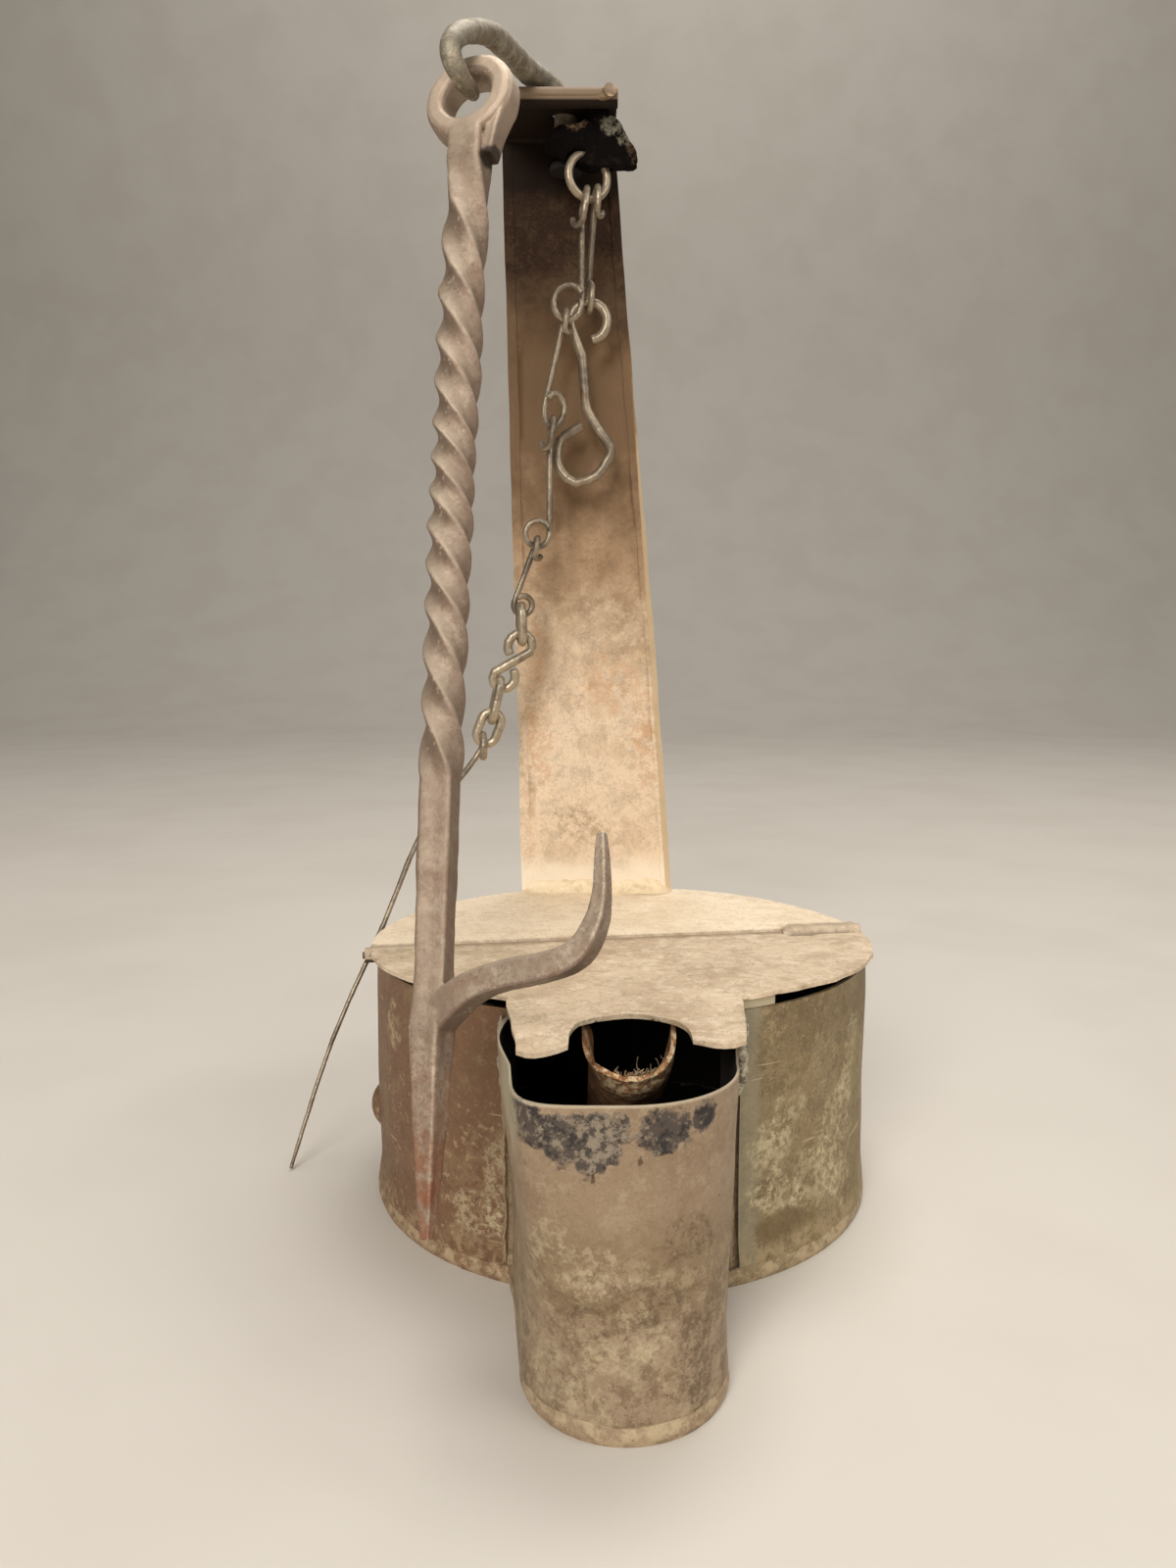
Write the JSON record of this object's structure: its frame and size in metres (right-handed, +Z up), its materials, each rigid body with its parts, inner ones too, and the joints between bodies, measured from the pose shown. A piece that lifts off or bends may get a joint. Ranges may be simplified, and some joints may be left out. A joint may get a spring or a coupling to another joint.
{
  "type": "betty lamp",
  "caption": "Tinplate betty lamp: round oil font with a spout and hinged lid, upright strap with swivel hook, forged hanger with spike and prong, and a wick pick on a wire chain.",
  "frame": {"origin": "centre of the font's base on the surface it stands on", "axes": "+X to the right as the spout is faced, -Y towards the spout, +Z up along the upright"},
  "size_m": [0.097, 0.1102, 0.1872],
  "materials": {
    "tin_walls": "dull aged tinplate, mottled brown and grey",
    "tin_covers": "dull tinplate, dusty tan",
    "rusty_tin": "rusted tinplate",
    "tin_upright": "aged tinplate, dark at the top",
    "solder": "dull grey solder",
    "rim_wire": "worn wire, coppery",
    "forged_dark": "black forged iron",
    "forged_iron": "worn forged iron, mauve brown",
    "dark_wire": "dark iron wire",
    "chain_wire": "grey iron wire",
    "wick": "frayed cotton"
  },
  "bodies": {
    "lamp": {"base_plate": "tin_walls", "drum_wall": "tin_walls", "spout_wall": "tin_walls", "rear_cover": "tin_covers", "hinge_pin": "dark_wire", "wick_support": "rusty_tin", "wick": "wick", "upright": "tin_upright", "upright_solder": "solder", "top_wire": "rim_wire", "swivel_block": "forged_dark"},
    "lid": {"lid": "tin_covers"},
    "swivel_hook": {"swivel_hook": "forged_iron"},
    "hanger": {"hanger": "forged_iron"},
    "chain_ring": {"chain_ring": "chain_wire"},
    "long_link_right": {"long_link_right": "chain_wire"},
    "spare_hook": {"spare_hook": "chain_wire"},
    "long_link_left": {"long_link_left": "chain_wire"},
    "link_3": {"link_3": "chain_wire"},
    "link_4": {"link_4": "chain_wire"},
    "link_5": {"link_5": "chain_wire"},
    "small_link_1": {"small_link_1": "chain_wire"},
    "small_link_2": {"small_link_2": "chain_wire"},
    "small_link_3": {"small_link_3": "chain_wire"},
    "small_link_4": {"small_link_4": "chain_wire"},
    "wick_pick": {"wick_pick": "dark_wire"}
  },
  "joints": [
    {"name": "lid_hinge", "type": "hinge", "parent": "lamp", "child": "lid", "pos_m": [0, -0.0005, 0.0386], "axis": [-0.989, -0.1478, 0], "range_deg": [0, 95]},
    {"name": "swivel_turn", "type": "hinge", "parent": "lamp", "child": "swivel_hook", "pos_m": [-0.00896, 0.02845, 0.1798], "axis": [0, 0, 1], "range_deg": [-300, 3]},
    {"name": "hanger_swing", "type": "hinge", "parent": "swivel_hook", "child": "hanger", "pos_m": [-0.02196, -0.00925, 0.1669], "axis": [-0.352, -0.8713, 0.342], "range_deg": [-65, 0]},
    {"name": "ring_swing", "type": "hinge", "parent": "lamp", "child": "chain_ring", "pos_m": [-0.00511, 0.02465, 0.1724], "axis": [-0.4067, 0.9135, 0], "range_deg": [0, 6]},
    {"name": "right_link_swing", "type": "hinge", "parent": "chain_ring", "child": "long_link_right", "pos_m": [-0.00359, 0.02532, 0.1655], "axis": [0, -1, 0], "range_deg": [0, 15]},
    {"name": "spare_hook_swing", "type": "hinge", "parent": "long_link_right", "child": "spare_hook", "pos_m": [-0.00496, 0.02815, 0.147], "axis": [0, -1, 0], "range_deg": [-8, 30]},
    {"name": "left_link_swing", "type": "hinge", "parent": "chain_ring", "child": "long_link_left", "pos_m": [-0.00557, 0.02444, 0.16514], "axis": [0, 1, 0], "range_deg": [0, 12]},
    {"name": "link_3_swing", "type": "hinge", "parent": "long_link_left", "child": "link_3", "pos_m": [-0.00922, 0.02475, 0.14486], "axis": [0, -1, 0], "range_deg": [-12, 0]},
    {"name": "link_4_swing", "type": "hinge", "parent": "link_3", "child": "link_4", "pos_m": [-0.01151, 0.02475, 0.12657], "axis": [0, 1, 0], "range_deg": [0, 9]},
    {"name": "link_5_swing", "type": "hinge", "parent": "link_4", "child": "link_5", "pos_m": [-0.01456, 0.02475, 0.10546], "axis": [0, -1, 0], "range_deg": [-12, 0]},
    {"name": "small_link_1_swing", "type": "hinge", "parent": "link_5", "child": "small_link_1", "pos_m": [-0.01728, 0.02475, 0.0934], "axis": [0, 1, 0], "range_deg": [0, 12]},
    {"name": "small_link_2_swing", "type": "hinge", "parent": "small_link_1", "child": "small_link_2", "pos_m": [-0.01712, 0.02475, 0.08846], "axis": [0, -1, 0], "range_deg": [-12, 0]},
    {"name": "small_link_3_swing", "type": "hinge", "parent": "small_link_2", "child": "small_link_3", "pos_m": [-0.02146, 0.02475, 0.0801], "axis": [0, 1, 0], "range_deg": [0, 12]},
    {"name": "small_link_4_swing", "type": "hinge", "parent": "small_link_3", "child": "small_link_4", "pos_m": [-0.02277, 0.02475, 0.07419], "axis": [0, -1, 0], "range_deg": [-12, 0]},
    {"name": "pick_swing", "type": "hinge", "parent": "small_link_4", "child": "wick_pick", "pos_m": [-0.02442, 0.02475, 0.07005], "axis": [0, 1, 0], "range_deg": [0, 40]}
  ]
}
